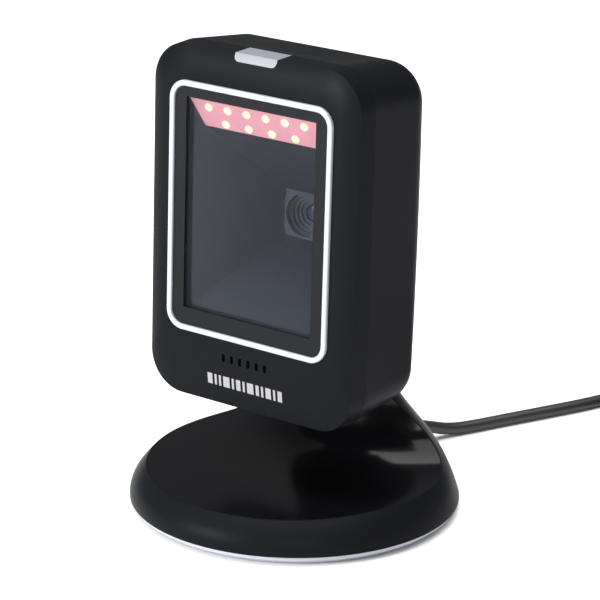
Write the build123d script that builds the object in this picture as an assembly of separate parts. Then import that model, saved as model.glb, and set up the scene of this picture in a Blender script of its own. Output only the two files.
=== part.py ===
from build123d import *
import math
import os

# Desktop presentation scanner: a head that nods on a neck, a round weighted stand and a USB lead.
# Millimetres. +Z up, the window faces -Y, origin on the table under the middle of the stand.
# Head pieces are built in the head's own frame (x across, y depth behind the bezel, z up from the
# head's middle) and then set in place by HEAD.

# Stand
skirt_bottom = 3.1
skirt_wall = 2.2
ledge = 0.6
cover_thickness = 2.0
foot_height = 0.6
plate_top = 3.1
seam_height = 18.3
seam_rise = 0.28
neck_top = 41.0
# Outside of the stand and neck: height, middle y, half width, half depth
hull_sections = [
    (skirt_bottom, 0.0, 50.5, 50.5),
    (3.6, 0.0, 50.5, 50.5),
    (10.5, 0.1, 48.0, 48.0),
    (18.0, 4.5, 41.0, 40.8),
    (27.0, 13.2, 27.8, 27.0),
    (35.0, 18.8, 17.0, 18.4),
    (neck_top, 19.5, 13.5, 14.0),
]
# Slope of the gloss cover in the middle plane, y and z, turned about an upright axis behind it
slope_axis_y = 66.0
slope_line = [(-60.0, 12.35), (-46.0, 12.6), (-20.0, 13.3), (0.0, 13.9), (6.0, 14.8),
              (10.5, 16.5), (13.8, 19.0), (16.0, 22.0), (17.6, 26.0), (18.6, 30.0),
              (18.6, 34.0), (17.6, 37.5), (15.0, 46.0)]

# Hinge
pivot_y = 4.0
pivot_z = 48.0
knuckle_radius = 7.0
knuckle_half = 9.0
pin_radius = 2.5
running_gap = 0.05
slot_half = 10.5

# Head
head_y = -24.59
head_z = 90.38
head_tilt = -1.711
crease_depth = 3.05
crease_width = 75.25
crease_height = 107.45
parting_depth = 9.65
parting_width = 75.97
parting_height = 108.17
rear_depth = 39.7
rear_draft = 1.5
rear_draft_height = 3.2
rear_crown = 1500.0
rear_edge = 8.0
corner_radius = 12.0
shell_wall = 2.2
front_wall_end = 5.0
face_depth = 1.07
ring_width = 59.4
ring_height = 76.15
ring_z = 5.31
ring_band = 1.71
ring_corner = 5.8
ring_seat = 2.3
mask_front = 0.76
mask_back = 1.0
glass_back = 2.55
window_width = 47.36
window_height = 64.18
window_z = 6.39
pipe_width = 15.2
pipe_bottom = 51.3

# Optics, in the head's frame
baffle_front = 2.6
baffle_back = 28.3
baffle_wall = 1.3
funnel_half = 24.0
throat_half = 7.25
lens_z = 1.3
led_pitch_top = 7.0
led_pitch_low = 8.5
led_radius = 1.2

# Lead
cable_diameter = 4.0
coil_centre = (63.0, 142.0)
coil_turn = 24.0
coil_inner = 18.0
coil_outer = 30.0
coil_height = 12.0
cable_route = [(0, 44, 8.5), (0.3, 57, 8.3), (2.2, 66.5, 5.3), (5.9, 75.5, 2.3), (10.1, 84.5, 2.0),
               (14.6, 95, 2.0), (20.2, 107.5, 2.0), (26.9, 122.5, 2.0), (32.2, 137.5, 2.0),
               (36.37, 150.65, 2.0)]

HEAD = Location((0, head_y, head_z), (head_tilt, 0, 0))
os.makedirs("parts", exist_ok=True)
written = []


def save(name, shape):
    """Write one piece to its own file."""
    solids = shape.solids()
    piece = solids[0] if len(solids) == 1 else Compound(children=list(solids))
    export_step(piece, "parts/" + name + ".step")
    written.append(name)


def outline(width, height, radius, depth, middle=0.0):
    """A rounded rectangle facing the front at one depth."""
    return Plane.XZ.offset(-depth) * Pos(0, middle) * RectangleRounded(width, height, radius)


def slab(width, height, radius, start, end, middle=0.0):
    """A rounded rectangular plate between two depths."""
    return extrude(outline(width, height, radius, start, middle), amount=start - end)


def block(x, y, z):
    """A box from three pairs of limits."""
    low = (min(x), min(y), min(z))
    size = (abs(x[1] - x[0]), abs(y[1] - y[0]), abs(z[1] - z[0]))
    return Pos(*low) * Box(*size, align=(Align.MIN, Align.MIN, Align.MIN))


def rod(radius, x, z, start, end):
    """A cylinder along the depth axis."""
    turned = Cylinder(radius, end - start, rotation=(90, 0, 0))
    return Pos(x, (start + end) / 2, z) * turned


def axle(radius, start, end, y=0.0, z=0.0):
    """A cylinder along X."""
    turned = Cylinder(radius, end - start, rotation=(0, 90, 0))
    return Pos((start + end) / 2, y, z) * turned


def post(radius, x, y, low, high):
    """A cylinder along Z."""
    return Pos(x, y, (low + high) / 2) * Cylinder(radius, high - low)


def across(points, half):
    """A side-view polygon (y, z) drawn out to both sides of the middle plane."""
    face = make_face(Polyline(*[(0, y, z) for y, z in points], close=True))
    return extrude(face, amount=half, dir=(1, 0, 0), both=True)


# ---------------------------------------------------------------- stand
def hull(inset):
    """Outside of the stand and neck, drawn in by an even margin."""
    rings = []
    for height, middle, half_width, half_depth in hull_sections[1:]:
        place = Plane(origin=(0, middle, height), x_dir=(1, 0, 0), z_dir=(0, 0, 1))
        if half_width == half_depth:
            rings.append(place * Circle(half_width - inset))
        else:
            rings.append(place * Ellipse(half_width - inset, half_depth - inset))
    bottom, low = hull_sections[0], hull_sections[1]
    lip = post(bottom[2] - inset, 0, 0, bottom[0], low[0])
    return lip + loft(rings)


def moved_in(line, drop):
    """The slope line moved square to itself, down and back."""
    moved = []
    for here in range(len(line)):
        before = line[max(here - 1, 0)]
        after = line[min(here + 1, len(line) - 1)]
        run, rise = after[0] - before[0], after[1] - before[1]
        length = math.hypot(run, rise)
        moved.append((line[here][0] + drop * rise / length, line[here][1] - drop * run / length))
    return moved


def slope_cut(drop):
    """Everything in front of and above the slope, after moving the slope down and back."""
    line = moved_in(slope_line, drop)
    curve = Spline(*[(0, y, z) for y, z in line])
    top = 90.0
    close = Polyline((0, *line[-1]), (0, line[-1][0], top), (0, line[0][0], top), (0, *line[0]))
    face = make_face([curve, close])
    return revolve(face, Axis((0, slope_axis_y, 0), (0, 0, 1)))


outer = hull(0)
scoop = slope_cut(0)
scoop_under = slope_cut(cover_thickness)
arm_gap = block((-9.5, 9.5), (-5, 29.5), (37.0, 60))
room = hull(skirt_wall) - scoop_under
room += post(hull_sections[0][2] - skirt_wall, 0, 0, skirt_bottom - 1, skirt_bottom + 0.2)
panel = (hull(ledge) & scoop_under) - scoop
relief_hole = Pos(0, 48, 8.5) * Cylinder(3.6, 12, rotation=(90, 0, 0))
skirt = outer - scoop - room - panel - arm_gap - relief_hole

boss_places = [(16, -33), (-16, -33), (34, 2), (-34, 2)]
seam_plate = across([(8, seam_height - 6.5 * seam_rise), (60, seam_height + 45.5 * seam_rise),
                     (60, 90), (8, 90)], 60)
base_cover = panel - seam_plate
neck_cover = (panel & seam_plate) - arm_gap
for x, y in boss_places:
    base_cover += post(3.2, x, y, plate_top, 12.6)
    base_cover -= post(1.3, x, y, plate_top, 9.0)
save("base_skirt", skirt)
save("base_cover", base_cover)
save("neck_cover", neck_cover)

ring_profile = make_face(Polyline(
    (44, 0, foot_height), (48.1, 0, foot_height), (49.7, 0, 1.9), (49.7, 0, plate_top),
    (44, 0, plate_top), close=True))
save("trim_ring", revolve(ring_profile, Axis.Z))

foot_places = [(r * math.cos(math.radians(a)), r * math.sin(math.radians(a)))
               for r, a in [(36, 45), (36, 135), (36, 225), (36, 315)]]
base_plate = post(44, 0, 0, foot_height, plate_top)
feet = Part()
for x, y in foot_places:
    base_plate -= post(5.5, x, y, foot_height, 1.3)
    feet += post(5.5, x, y, 0, 1.3)
screws = Part()
for x, y in boss_places:
    base_plate -= post(2.9, x, y, foot_height, 2.0)
    base_plate -= post(1.3, x, y, 2.0, plate_top)
    drive = Pos(x, y, 1.1) * (Box(3.2, 0.6, 0.8) + Box(0.6, 3.2, 0.8))
    screws += post(2.8, x, y, 0.9, 2.0) + post(1.3, x, y, 2.0, 9.0) - drive
arm_screw_places = [(-12.5, 24), (12.5, 24), (-12.5, 36), (12.5, 36)]
arm_screws = Part()
for x, y in arm_screw_places:
    base_plate -= post(2.9, x, y, foot_height, 2.0)
    base_plate -= post(1.3, x, y, 2.0, plate_top)
    drive = Pos(x, y, 1.1) * (Box(3.2, 0.6, 0.8) + Box(0.6, 3.2, 0.8))
    arm_screws += post(2.8, x, y, 0.9, 2.0) + post(1.3, x, y, 2.0, 5.6) - drive
save("base_plate", base_plate)
save("rubber_feet", feet)
save("base_screws", screws)
save("arm_screws", arm_screws)

ballast = post(42, 0, 0, plate_top, plate_top + 3) - block((-17, 17), (17, 50), (0, 20))
for x, y in boss_places:
    ballast -= post(3.6, x, y, 0, 20)
save("ballast_plate", ballast)

arm_side = [(25, plate_top), (32, plate_top), (31.5, 28), (26, 39.5), (6, 54.5), (1, 41.7),
            (21.4, 37.6), (23.4, 32), (24.5, 20)]
arm = across(arm_side, knuckle_half)
arm += axle(knuckle_radius, -knuckle_half, knuckle_half, pivot_y, pivot_z)
arm += block((-16, 16), (19.5, 40.5), (plate_top, plate_top + 2.5))
arm -= axle(pin_radius + running_gap, -20, 20, pivot_y, pivot_z)
for x, y in arm_screw_places:
    arm -= post(1.3, x, y, plate_top, plate_top + 2.5)
save("hinge_arm", arm)

# ---------------------------------------------------------------- head shells
def rear_form(inset):
    """Rear body of the head: tapered, crowned at the back, rounded round its rear edge."""
    radius = corner_radius - inset * 0.7
    ahead = outline(parting_width - 2 * inset, parting_height - 2 * inset, radius, parting_depth)
    behind = outline(parting_width - 2 * (inset + rear_draft),
                     parting_height - 2 * (inset + rear_draft_height), radius, 46)
    body = loft([ahead, behind], ruled=True)
    crown_y = rear_depth - inset - rear_crown
    body &= Pos(0, crown_y, 0) * Cylinder(rear_crown, 120, rotation=(0, 90, 0))
    back = body.faces().sort_by(Axis.Y)[-1]
    return fillet(back.edges(), rear_edge - inset)


def front_form():
    """Front body of the head: short tapered sides and a softly domed face."""
    crease = outline(crease_width, crease_height, corner_radius, crease_depth)
    parting = outline(parting_width, parting_height, corner_radius, parting_depth)
    sides = loft([crease, parting], ruled=True)
    half_way = outline(69.5, 96.0, 9.6, 1.72, 2.0)
    face = outline(ring_width + 1.2, ring_height + 1.2, ring_corner + 0.6, face_depth, ring_z)
    return sides + loft([crease, half_way, face])


screw_places = [(29, 43), (-29, 43), (29, -43), (-29, -43)]
screw_seat = 14.0
front_outer = front_form()
pipe_zone = slab(pipe_width, 12, 1.6, -1, parting_depth, pipe_bottom + 6)
light_pipe = front_outer & pipe_zone
front = front_outer - light_pipe
front -= slab(parting_width - 2 * shell_wall, parting_height - 2 * shell_wall, 10,
              front_wall_end, parting_depth) - pipe_zone
ring_in_width = ring_width - 2 * ring_band
ring_in_height = ring_height - 2 * ring_band
ring_in_corner = ring_corner - ring_band
front -= slab(ring_width, ring_height, ring_corner, -2, ring_seat, ring_z)
front -= slab(ring_in_width, ring_in_height, ring_in_corner, -2, baffle_front, ring_z)
front -= block((-25.6, 25.6), (0, 8), (-27.9, 40.5))
slot_pitch = 3.1
slot_middle = -0.6
slot_z = -38.7
for i in range(6):
    x = slot_middle + (i - 2.5) * slot_pitch
    front -= Pos(x, 0, 0) * slab(1.15, 2.6, 0.55, -1, 6, slot_z)
for x, z in screw_places:
    front += rod(3.2, x, z, front_wall_end - 0.5, parting_depth)
    front -= rod(1.3, x, z, front_wall_end, parting_depth)
# Printed mark under the sound slots: a plain row of bars
bar_widths = [1.8, 0.8, 0.8, 2.4, 0.8, 1.6, 0.8, 2.4, 1.2, 0.8, 2.0, 0.8, 1.6]
bar_gap = 0.85
bar_height = 3.4
mark_z = -46.2
mark_skin = 0.15
bars = Part()
bar_start = slot_middle - (sum(bar_widths) + bar_gap * (len(bar_widths) - 1)) / 2
for width in bar_widths:
    bars += block((bar_start, bar_start + width), (-1, 6),
                  (mark_z - bar_height / 2, mark_z + bar_height / 2))
    bar_start += width + bar_gap
mark = (bars & front_outer) - Pos(0, mark_skin, 0) * front_outer
front -= mark
save("front_mark", HEAD * mark)
save("front_shell", HEAD * front)
save("status_light_pipe", HEAD * light_pipe)

slot_top = -29.5
slot_front = 21.5
rear_outer = rear_form(0)
pocket = block((-slot_half - 1.5, slot_half + 1.5), (slot_front - 1.5, 60), (-80, slot_top + 1.5))
rear = rear_outer - (rear_form(shell_wall) - pocket)
rear -= block((-slot_half, slot_half), (slot_front, 60), (-80, slot_top))
for x, z in screw_places:
    rear += rod(4.2, x, z, parting_depth, 60) & rear_outer
    rear -= rod(1.3, x, z, parting_depth, screw_seat)
    rear -= rod(2.7, x, z, screw_seat, 60)
back_to_front = HEAD.inverse()
pivot = (back_to_front * Location((0, pivot_y, pivot_z))).position
rear -= axle(pin_radius, -14, 14, pivot.Y, pivot.Z)
save("rear_shell", HEAD * rear)

head_screws = Part()
for x, z in screw_places:
    drive = Pos(x, screw_seat + 1.6, z) * (Box(3.0, 0.8, 0.6) + Box(0.6, 0.8, 3.0))
    head_screws += rod(1.3, x, z, front_wall_end, screw_seat)
    head_screws += rod(2.5, x, z, screw_seat, screw_seat + 1.8) - drive
save("head_screws", HEAD * head_screws)

# ---------------------------------------------------------------- window
bezel = slab(ring_width, ring_height, ring_corner, 0, ring_seat, ring_z)
bezel -= slab(ring_in_width, ring_in_height, ring_in_corner, -1, 5, ring_z)
bezel = fillet(bezel.faces().sort_by(Axis.Y)[0].edges(), 0.5)
save("bezel_ring", HEAD * bezel)
pane_width = ring_in_width - 0.1
pane_height = ring_in_height - 0.1
mask = slab(pane_width, pane_height, ring_in_corner, mask_front, mask_back, ring_z)
mask -= block((-window_width / 2, window_width / 2), (0, 3),
              (window_z - window_height / 2, window_z + window_height / 2))
save("window_mask", HEAD * mask)
save("window_glass", HEAD * slab(pane_width, pane_height, ring_in_corner, mask_back, glass_back,
                                 ring_z))

# ---------------------------------------------------------------- optics
board_top = (baffle_front, 38.1)
board_low = (6.8, 29.2)
board_run = math.hypot(board_low[0] - board_top[0], board_low[1] - board_top[1])
board_normal = ((board_top[1] - board_low[1]) / board_run, (board_low[0] - board_top[0]) / board_run)


def plan_wedge(front_half, back_half, front_depth, back_depth):
    """Top-view trapezoid drawn over the head's height."""
    face = make_face(Polyline((-front_half, front_depth, -60), (front_half, front_depth, -60),
                              (back_half, back_depth, -60), (-back_half, back_depth, -60),
                              close=True))
    return extrude(face, amount=120, dir=(0, 0, 1))


def behind_board(point, distance):
    """A side-view point moved square to the lamp board, towards the rear."""
    return (point[0] + board_normal[0] * distance, point[1] + board_normal[1] * distance)


cavity_side = across([(baffle_front, -26), (baffle_back, lens_z - throat_half),
                      (baffle_back, lens_z + throat_half), board_low, board_top], 40)
cavity_plan = plan_wedge(funnel_half, throat_half, baffle_front, baffle_back)
cavity = cavity_side & cavity_plan
body_side = across([(baffle_front, -27.6), (baffle_back, lens_z - throat_half - baffle_wall),
                    (baffle_back, lens_z + throat_half + baffle_wall), (8.8, 31.4), (4.8, 40.2),
                    (baffle_front, 40.2)], 40)
body_plan = plan_wedge(funnel_half + baffle_wall, throat_half + baffle_wall, baffle_front,
                       baffle_back)
lamp_board = across([board_top, board_low, behind_board(board_low, 1.2),
                     behind_board(board_top, 1.2)], 40) & cavity_plan
save("light_baffle", HEAD * ((body_side & body_plan) - cavity - lamp_board))
save("lamp_board", HEAD * lamp_board)
lamps = Part()
tilt_angle = math.degrees(math.atan2(board_normal[1], board_normal[0]))
for share, count, pitch in [(0.25, 6, led_pitch_top), (0.79, 4, led_pitch_low)]:
    depth = board_top[0] + (board_low[0] - board_top[0]) * share
    z = board_top[1] + (board_low[1] - board_top[1]) * share
    for i in range(count):
        x = (i - (count - 1) / 2) * pitch
        chip = Cylinder(led_radius, 0.5, rotation=(90, 0, 0), align=(Align.CENTER, Align.CENTER,
                                                                    Align.MIN))
        lamps += Location((x, depth, z), (tilt_angle, 0, 0)) * chip
save("lamp_chips", HEAD * lamps)

hood = slab(17.0, 17.0, 3, baffle_back, baffle_back + 1.2, lens_z)
hood += slab(14.2, 14.2, 3, baffle_back - 0.6, baffle_back, lens_z)
hood += slab(14.2, 14.2, 3, baffle_back + 1.2, 33.3, lens_z)
for i in range(5):
    hood -= rod(6.5 - 0.95 * i, 0, lens_z, baffle_back - 1, baffle_back + 0.3 + 0.9 * (i + 1))
hood -= rod(2.7, 0, lens_z, baffle_back - 1, 40)
save("lens_hood", HEAD * hood)
lens = rod(2.7, 0, lens_z, 31.9, 33.3)
lens = fillet(lens.edges().sort_by(Axis.Y)[0], 0.9)
save("lens_glass", HEAD * lens)
barrel = rod(5.4, 0, lens_z, 33.3, 35.8) - rod(2.4, 0, lens_z, 33, 34.4)
barrel -= rod(4.4, 0, lens_z, 34.4, 36)
save("lens_barrel", HEAD * barrel)
save("image_sensor", HEAD * block((-2.8, 2.8), (34.9, 35.8), (lens_z - 2.8, lens_z + 2.8)))
save("sensor_board", HEAD * slab(26, 18, 1, 35.8, 36.8, lens_z))

# ---------------------------------------------------------------- electronics
save("main_board", HEAD * slab(48, 30, 1, 31.0, 32.6, 27.5))
chips = Part()
for x, z, wide, tall, thick in [(-12, 32, 9, 9, 1.2), (3, 33, 7, 7, 1.0), (14, 24, 5, 8, 1.4),
                                (-8, 18, 6, 4, 1.6), (4, 20, 4, 4, 1.0)]:
    chips += block((x - wide / 2, x + wide / 2), (32.6, 32.6 + thick), (z - tall / 2, z + tall / 2))
save("board_chips", HEAD * chips)
save("lead_socket", HEAD * block((15, 23), (32.6, 36), (30, 36)))
save("status_board", HEAD * block((-8, 8), (5.4, 9.4), (49.2, 50.2)))
save("status_lamp", HEAD * block((-1.8, 1.8), (6.4, 8.6), (50.2, 51.1)))
save("sounder", HEAD * (rod(6, 0, slot_z, 5.6, 9.2) - rod(1.2, 0, slot_z, 5, 6.4)))
save("sounder_mesh", HEAD * slab(20, 5, 1, 5.0, 5.3, slot_z))

# ---------------------------------------------------------------- hinge
py, pz = pivot.Y, pivot.Z
washers = Part()
brackets = Part()
for side in (-1, 1):
    limits = sorted((side * (knuckle_half + 0.05), side * (slot_half - 0.02)))
    washers += axle(5.5, *limits, py, pz) - axle(pin_radius, -20, 20, py, pz)
    limits = sorted((side * (slot_half + 1.5), side * (slot_half + 3.0)))
    plate = axle(5.0, *limits, py, pz) + block(limits, (py - 5, py + 3), (pz, pz + 14))
    brackets += plate - axle(pin_radius, -20, 20, py, pz)
save("friction_washers", HEAD * washers)
save("hinge_brackets", HEAD * brackets)
pin_end = slot_half + 7.0
pin = axle(pin_radius, -pin_end, slot_half + 3.0, py, pz)
pin += axle(3.9, slot_half + 3.0, slot_half + 5.2, py, pz)
save("hinge_pin", HEAD * pin)
nut_face = make_face(Plane.YZ.offset(-pin_end + 0.6) * Pos(py, pz) * RegularPolygon(4.2, 6))
nut = extrude(nut_face, amount=3.2) - axle(pin_radius, -30, 0, py, pz)
save("hinge_nut", HEAD * nut)

# ---------------------------------------------------------------- lead
relief = Pos(0, 44, 8.5) * Cylinder(4.6, 2, rotation=(90, 0, 0))
relief += Pos(0, 48, 8.5) * Cylinder(3.6, 6, rotation=(90, 0, 0))
relief += Pos(0, 55, 8.5) * Cone(3.9, 2.7, 8, rotation=(-90, 0, 0))


def tube(route):
    """A round cable along straight runs joined by arcs as large as the runs allow."""
    points = [Vector(*p) for p in route]
    radii = []
    for before, here, after in zip(points, points[1:], points[2:]):
        turn = math.radians((here - before).get_angle(after - here))
        shorter = min((here - before).length, (after - here).length)
        radii.append(0.45 * shorter / math.tan(turn / 2))
    path = FilletPolyline(*points, radius=radii)
    start = Plane(origin=points[0], z_dir=points[1] - points[0])
    solid = sweep(start * Circle(cable_diameter / 2), path=path)
    section = math.pi * cable_diameter ** 2 / 4
    print("tube length", round(path.length, 1), "volume over section times length",
          round(solid.volume / (section * path.length), 4), "radii", [round(r, 1) for r in radii])
    return solid


def on_coil(angle, height, radius=coil_turn):
    """A point over the coil at an angle in degrees."""
    turn = math.radians(angle)
    return (coil_centre[0] + radius * math.cos(turn), coil_centre[1] + radius * math.sin(turn),
            height)


cable = tube(cable_route)
relief -= cable
save("strain_relief", relief)
save("usb_cable", cable)

tie_angle = -110
coil = post(coil_outer, *coil_centre, 0, coil_height) - post(coil_inner, *coil_centre, -1, 20)
middle = (coil_inner + coil_outer) / 2
tie = Box(14.4, 5, coil_height) - Box(13.2, 6, coil_height - 1.2)
tie = Pos(*on_coil(tie_angle, coil_height / 2, middle)) * Rot(0, 0, tie_angle) * tie
inside_tie = Pos(*on_coil(tie_angle, coil_height / 2, middle)) * Rot(0, 0, tie_angle) * (
    Box(14.4, 5, coil_height + 1) - Box(13.2, 6, coil_height - 1.2))
save("cable_coil", coil - inside_tie)
save("cable_tie", tie)

plug_height = coil_height + 4.0
tail_route = [on_coil(100, coil_height - 2), on_coil(70, coil_height + 1.5),
              on_coil(38, plug_height - 1), on_coil(10, plug_height)]
tail_end = Vector(*tail_route[-1])
plug_turn = -100
heading = Vector(math.cos(math.radians(plug_turn)), math.sin(math.radians(plug_turn)), 0)
tail_route.append(tuple(tail_end + heading * 9))
save("cable_tail", tube(tail_route))
plug_place = Location(tuple(tail_end + heading * 9), (0, 0, plug_turn))
grip = Pos(11, 0, 0) * Box(22, 15.5, 8)
grip = fillet(grip.edges().filter_by(Axis.X), 2.2)
grip += Pos(-3, 0, 0) * Cone(2.5, 3.6, 6, rotation=(0, 90, 0))
grip -= Pos(-3, 0, 0) * Cylinder(cable_diameter / 2, 6, rotation=(0, 90, 0))
grip -= Pos(20.5, 0, 0) * Box(3, 12, 4.5)
shell = Pos(25, 0, 0) * Box(12, 12, 4.5) - Pos(26, 0, 0) * Box(12, 11.4, 3.9)
shell += Pos(20.5, 0, 0) * (Box(3, 12, 4.5) - Box(4, 11.4, 3.9))
shell -= Pos(27, 2.8, 2) * Box(2.4, 2.2, 2) + Pos(27, -2.8, 2) * Box(2.4, 2.2, 2)
tongue = Pos(25.2, 0, -0.95) * Box(10.4, 11.3, 1.9)
save("usb_plug_grip", plug_place * grip)
save("usb_plug_shell", plug_place * shell)
save("usb_plug_tongue", plug_place * tongue)
print(len(written), "pieces")
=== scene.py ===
import math

import bpy
from mathutils import Matrix, Vector


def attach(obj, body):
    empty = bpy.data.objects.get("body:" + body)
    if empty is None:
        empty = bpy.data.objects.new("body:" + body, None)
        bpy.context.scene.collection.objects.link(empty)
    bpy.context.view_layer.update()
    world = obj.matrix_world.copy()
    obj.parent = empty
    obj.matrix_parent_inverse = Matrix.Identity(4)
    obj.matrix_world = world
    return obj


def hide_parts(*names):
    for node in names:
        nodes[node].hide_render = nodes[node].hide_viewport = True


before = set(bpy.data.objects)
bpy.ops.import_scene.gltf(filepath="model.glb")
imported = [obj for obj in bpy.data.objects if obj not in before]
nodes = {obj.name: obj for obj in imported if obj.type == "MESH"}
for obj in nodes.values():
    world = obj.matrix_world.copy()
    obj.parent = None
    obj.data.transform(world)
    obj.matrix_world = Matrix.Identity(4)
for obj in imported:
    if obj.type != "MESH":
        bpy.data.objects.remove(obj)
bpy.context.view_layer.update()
scene = bpy.context.scene

# Camera, metres and degrees
AIM = Vector((0.000860, 0.000652, 0.065245))
DISTANCE = 0.8498
AZIMUTH = 37.178
ELEVATION = 18.511
ROLL = 0.579
LENS = 169.84
SENSOR = 36.0

# Lead, metres and degrees
CABLE = 0.004
COIL_CENTRE = (0.063, 0.142)
COIL_TURN = 0.024
COIL_TOP = 0.012
COIL_START = 162.0
TURN_POINTS = 16
LAST_TURN_POINTS = 18
SHIFT_FROM = 0.8
PLUG_TURN = math.radians(-100.0)
PLUG_REACH = 0.009

# Surface grain
NOISE_DETAIL = 3.0
BUMP_DEPTH = 0.00005
GLOSS_PATCHES = 60.0
GLASS_ROUGHNESS = 0.02

# Stage
FLOOR_HALF = 6.0
SURROUND_COLOUR = (0.95, 0.96, 1.0, 1.0)
SURROUND_STRENGTH = 0.2


def add_camera():
    """Looks at the scanner from its front right, a little above it."""
    azimuth = math.radians(AZIMUTH)
    elevation = math.radians(ELEVATION)
    back = Vector((math.sin(azimuth) * math.cos(elevation),
                   -math.cos(azimuth) * math.cos(elevation), math.sin(elevation)))
    right = Vector((math.cos(azimuth), math.sin(azimuth), 0.0))
    up = back.cross(right)
    roll = math.radians(ROLL)
    turned_right = math.cos(roll) * right + math.sin(roll) * up
    turned_up = math.cos(roll) * up - math.sin(roll) * right
    data = bpy.data.cameras.new("camera")
    data.lens = LENS
    data.sensor_width = SENSOR
    data.clip_start = 0.05
    data.clip_end = 20.0
    camera = bpy.data.objects.new("camera", data)
    scene.collection.objects.link(camera)
    place = Matrix((turned_right, turned_up, back)).transposed().to_4x4()
    place.translation = AIM + back * DISTANCE
    camera.matrix_world = place
    scene.camera = camera


# ---------------------------------------------------------------- lead
def on_coil(angle, height, radius):
    """A point over the coil, angle in degrees."""
    turn = math.radians(angle)
    return (COIL_CENTRE[0] + radius * math.cos(turn), COIL_CENTRE[1] + radius * math.sin(turn),
            height)


def cable_route():
    """From the stand along the table, round the coil and up to the plug on top of it."""
    points = [(0.0, 0.044, 0.0085), (0.0003, 0.057, 0.0083), (0.0022, 0.0665, 0.0053),
              (0.0059, 0.0755, 0.0023), (0.0101, 0.0845, 0.002), (0.0146, 0.095, 0.002),
              (0.0202, 0.1075, 0.002), (0.0269, 0.1225, 0.002), (0.0322, 0.1375, 0.002)]
    outer, inner = COIL_TURN + CABLE, COIL_TURN - CABLE
    low, middle, high = (CABLE * (layer + 0.5) for layer in range(3))
    turns = [(outer, low), (COIL_TURN, low), (inner, low), (inner, middle), (COIL_TURN, middle),
             (outer, middle), (outer, high), (COIL_TURN, high)]
    for number, (radius, height) in enumerate(turns):
        last = number == len(turns) - 1
        following = turns[number] if last else turns[number + 1]
        for step in range(LAST_TURN_POINTS if last else TURN_POINTS):
            share = max(0.0, step / TURN_POINTS - SHIFT_FROM) / (1.0 - SHIFT_FROM)
            points.append(on_coil(COIL_START - 360.0 * step / TURN_POINTS,
                                  height + (following[1] - height) * share,
                                  radius + (following[0] - radius) * share))
    for angle, lift in ((100, -0.002), (70, 0.0015), (38, 0.003), (10, 0.004)):
        points.append(on_coil(angle, COIL_TOP + lift, COIL_TURN))
    end = points[-1]
    points.append((end[0] + PLUG_REACH * math.cos(PLUG_TURN),
                   end[1] + PLUG_REACH * math.sin(PLUG_TURN), end[2]))
    return points


def add_cable(material):
    """The whole lead as one smooth line."""
    route = cable_route()
    curve = bpy.data.curves.new("usb_lead", "CURVE")
    curve.dimensions = "3D"
    curve.bevel_depth = CABLE / 2
    curve.bevel_resolution = 6
    curve.resolution_u = 6
    curve.use_fill_caps = True
    spline = curve.splines.new("NURBS")
    spline.points.add(len(route) - 1)
    for point, place in zip(spline.points, route):
        point.co = (*place, 1.0)
    spline.order_u = 3
    spline.use_endpoint_u = True
    lead = bpy.data.objects.new("usb_lead", curve)
    scene.collection.objects.link(lead)
    curve.materials.append(material)
    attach(lead, "stand")
    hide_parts("usb_cable", "cable_coil", "cable_tail")


# ---------------------------------------------------------------- materials
def new_material(name):
    """A node material with only its Principled shader."""
    material = bpy.data.materials.new(name)
    material.use_nodes = True
    return material, material.node_tree, material.node_tree.nodes["Principled BSDF"]


def add_noise(tree, scale):
    """Object-space noise."""
    place = tree.nodes.new("ShaderNodeTexCoord")
    noise = tree.nodes.new("ShaderNodeTexNoise")
    noise.inputs["Scale"].default_value = scale
    noise.inputs["Detail"].default_value = NOISE_DETAIL
    tree.links.new(place.outputs["Object"], noise.inputs["Vector"])
    return noise


def add_bump(tree, shader, scale, strength):
    """Fine surface grain."""
    noise = add_noise(tree, scale)
    bump = tree.nodes.new("ShaderNodeBump")
    bump.inputs["Strength"].default_value = strength
    bump.inputs["Distance"].default_value = BUMP_DEPTH
    tree.links.new(noise.outputs["Fac"], bump.inputs["Height"])
    tree.links.new(bump.outputs["Normal"], shader.inputs["Normal"])


def vary(tree, shader, socket, low, high, scale):
    """Lets a number drift between two values over the surface."""
    noise = add_noise(tree, scale)
    spread = tree.nodes.new("ShaderNodeMapRange")
    spread.inputs["From Min"].default_value = 0.3
    spread.inputs["From Max"].default_value = 0.7
    spread.inputs["To Min"].default_value = low
    spread.inputs["To Max"].default_value = high
    tree.links.new(noise.outputs["Fac"], spread.inputs["Value"])
    tree.links.new(spread.outputs["Result"], shader.inputs[socket])


def plain(name, colour, rough, metallic=0.0, grain=900.0, strength=0.15, spec=0.5):
    """A moulded or plated surface with a little grain and uneven gloss."""
    material, tree, shader = new_material(name)
    shader.inputs["Base Color"].default_value = (*colour, 1.0)
    shader.inputs["Metallic"].default_value = metallic
    shader.inputs["Specular IOR Level"].default_value = spec
    vary(tree, shader, "Roughness", rough * 0.9, rough * 1.1, GLOSS_PATCHES)
    if strength > 0:
        add_bump(tree, shader, grain, strength)
    return material


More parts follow.
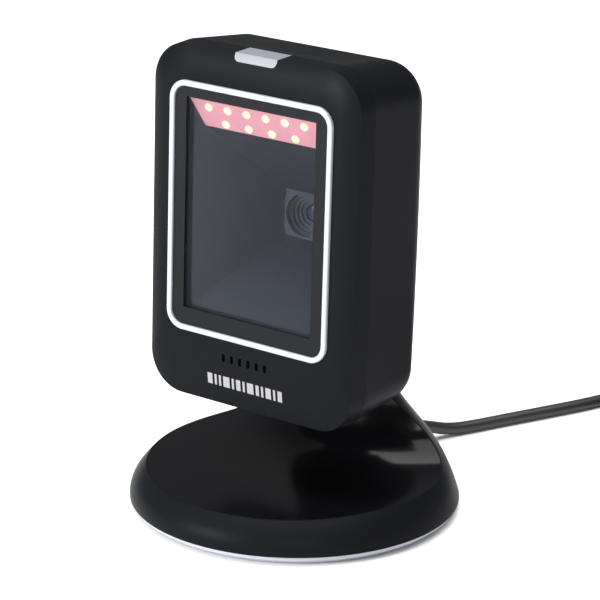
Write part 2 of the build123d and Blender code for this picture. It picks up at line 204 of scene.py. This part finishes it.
def glass(name, tint, mix):
    """Thin dark glass: mostly see-through, with a mirror sheen."""
    material, tree, shader = new_material(name)
    output = tree.nodes["Material Output"]
    clear = tree.nodes.new("ShaderNodeBsdfTransparent")
    clear.inputs["Color"].default_value = (*tint, 1.0)
    sheen = tree.nodes.new("ShaderNodeBsdfGlossy")
    sheen.inputs["Color"].default_value = (1.0, 1.0, 1.0, 1.0)
    vary(tree, sheen, "Roughness", GLASS_ROUGHNESS, GLASS_ROUGHNESS * 1.5, 40.0)
    fresnel = tree.nodes.new("ShaderNodeFresnel")
    fresnel.inputs["IOR"].default_value = 1.45
    scale = tree.nodes.new("ShaderNodeMath")
    scale.operation = "MULTIPLY"
    scale.inputs[1].default_value = mix
    blend = tree.nodes.new("ShaderNodeMixShader")
    tree.links.new(fresnel.outputs["Fac"], scale.inputs[0])
    tree.links.new(scale.outputs["Value"], blend.inputs["Fac"])
    tree.links.new(clear.outputs["BSDF"], blend.inputs[1])
    tree.links.new(sheen.outputs["BSDF"], blend.inputs[2])
    tree.links.new(blend.outputs["Shader"], output.inputs["Surface"])
    tree.nodes.remove(shader)
    return material


def glowing(name, colour, light, strength):
    """A lit surface whose glow is a little uneven."""
    material, tree, shader = new_material(name)
    shader.inputs["Base Color"].default_value = (*colour, 1.0)
    shader.inputs["Emission Color"].default_value = (*light, 1.0)
    vary(tree, shader, "Emission Strength", strength * 0.85, strength * 1.1, 90.0)
    shader.inputs["Roughness"].default_value = 0.4
    return material


def paint(names, material):
    """Gives CAD nodes a material."""
    for name in names:
        mesh = nodes[name].data
        mesh.materials.clear()
        mesh.materials.append(material)


def paint_all():
    """Every carried-over CAD node gets its finish."""
    satin = plain("satin_black", (0.0066, 0.007, 0.0084), 0.38, grain=2600.0, strength=0.25, spec=0.03)
    paint(["base_skirt", "front_shell", "rear_shell"], satin)
    paint(["base_cover", "neck_cover"],
          plain("gloss_black", (0.0022, 0.0023, 0.0027), 0.16, strength=0.0, spec=0.15))
    paint(["trim_ring", "bezel_ring"],
          plain("silver_trim", (0.42, 0.43, 0.48), 0.35, 0.2, strength=0.1))
    paint(["base_plate", "sounder", "hinge_arm"], plain("dark_plastic", (0.03, 0.03, 0.032), 0.6))
    paint(["light_baffle"], plain("baffle_grey", (0.010, 0.0125, 0.015), 0.55, strength=0.2))
    paint(["lens_hood", "lens_barrel"], plain("hood_grey", (0.026, 0.030, 0.035), 0.4))
    paint(["rubber_feet", "strain_relief"], plain("soft_rubber", (0.02, 0.02, 0.02), 0.7))
    paint(["base_screws", "arm_screws", "head_screws", "hinge_pin", "hinge_nut"],
          plain("zinc", (0.5, 0.5, 0.52), 0.35, 1.0))
    paint(["ballast_plate", "hinge_brackets"], plain("rolled_steel", (0.4, 0.4, 0.42), 0.45, 1.0))
    paint(["friction_washers", "lead_socket", "usb_plug_tongue"],
          plain("pale_nylon", (0.7, 0.7, 0.68), 0.5))
    paint(["status_light_pipe"], plain("milky_pipe", (0.20, 0.21, 0.235), 0.35, strength=0.1))
    paint(["window_mask"], plain("mask_black", (0.006, 0.007, 0.009), 0.25, strength=0.0, spec=0.1))
    paint(["window_glass"], glass("window_glass", (0.80, 0.83, 0.88), 0.12))
    paint(["lens_glass"], plain("lens_glass", (0.02, 0.02, 0.03), 0.05, strength=0.0))
    paint(["lamp_board"], glowing("lamp_panel", (0.3, 0.1, 0.1), (1.0, 0.42, 0.44), 0.9))
    paint(["lamp_chips"], glowing("lamp_chip", (0.5, 0.45, 0.2), (1.0, 0.93, 0.50), 1.4))
    paint(["status_lamp"], plain("status_lamp", (0.8, 0.8, 0.7), 0.4))
    paint(["sensor_board", "main_board", "status_board"],
          plain("circuit_green", (0.01, 0.10, 0.04), 0.4))
    paint(["board_chips", "image_sensor"], plain("chip_black", (0.02, 0.02, 0.02), 0.5))
    paint(["sounder_mesh"], plain("mesh_cloth", (0.015, 0.015, 0.015), 0.9, strength=0.6))
    paint(["front_mark"], plain("mark_ink", (0.27, 0.27, 0.28), 0.5))
    paint(["cable_tie", "usb_plug_grip"], plain("tie_black", (0.015, 0.015, 0.016), 0.45))
    paint(["usb_plug_shell"], plain("plug_steel", (0.7, 0.7, 0.72), 0.25, 1.0))


# ---------------------------------------------------------------- stage
def add_light(name, place, aim, size, power):
    """A soft rectangular studio lamp pointed at a spot."""
    data = bpy.data.lights.new(name, "AREA")
    data.shape = "RECTANGLE"
    data.size, data.size_y = size
    data.energy = power
    lamp = bpy.data.objects.new(name, data)
    scene.collection.objects.link(lamp)
    lamp.location = place
    lamp.rotation_euler = (Vector(aim) - Vector(place)).to_track_quat("-Z", "Y").to_euler()


def add_stage():
    """Pale floor, dim surroundings and soft lamps."""
    half = FLOOR_HALF
    mesh = bpy.data.meshes.new("floor")
    mesh.from_pydata([(-half, -half, 0), (half, -half, 0), (half, half, 0), (-half, half, 0)], [],
                     [(0, 1, 2, 3)])
    floor = bpy.data.objects.new("floor", mesh)
    scene.collection.objects.link(floor)
    mesh.materials.append(plain("floor_white", (0.9, 0.9, 0.9), 0.9, strength=0.0))
    world = bpy.data.worlds.new("studio")
    scene.world = world
    world.use_nodes = True
    world.node_tree.nodes["Background"].inputs["Color"].default_value = SURROUND_COLOUR
    world.node_tree.nodes["Background"].inputs["Strength"].default_value = SURROUND_STRENGTH
    add_light("overhead", (0, 0, 2.2), (0, 0, 0), (2.4, 2.4), 90.0)
    add_light("front_left", (-0.45, -1.1, 0.4), (0, 0, 0.05), (0.45, 0.45), 20.0)
    add_light("front_right", (0.75, -0.85, 0.45), (0, 0, 0.03), (0.25, 0.4), 3.0)
    scene.view_settings.view_transform = "Standard"


add_camera()
paint_all()
add_cable(plain("cable_rubber", (0.02, 0.02, 0.021), 0.4, grain=1500.0))
add_stage()
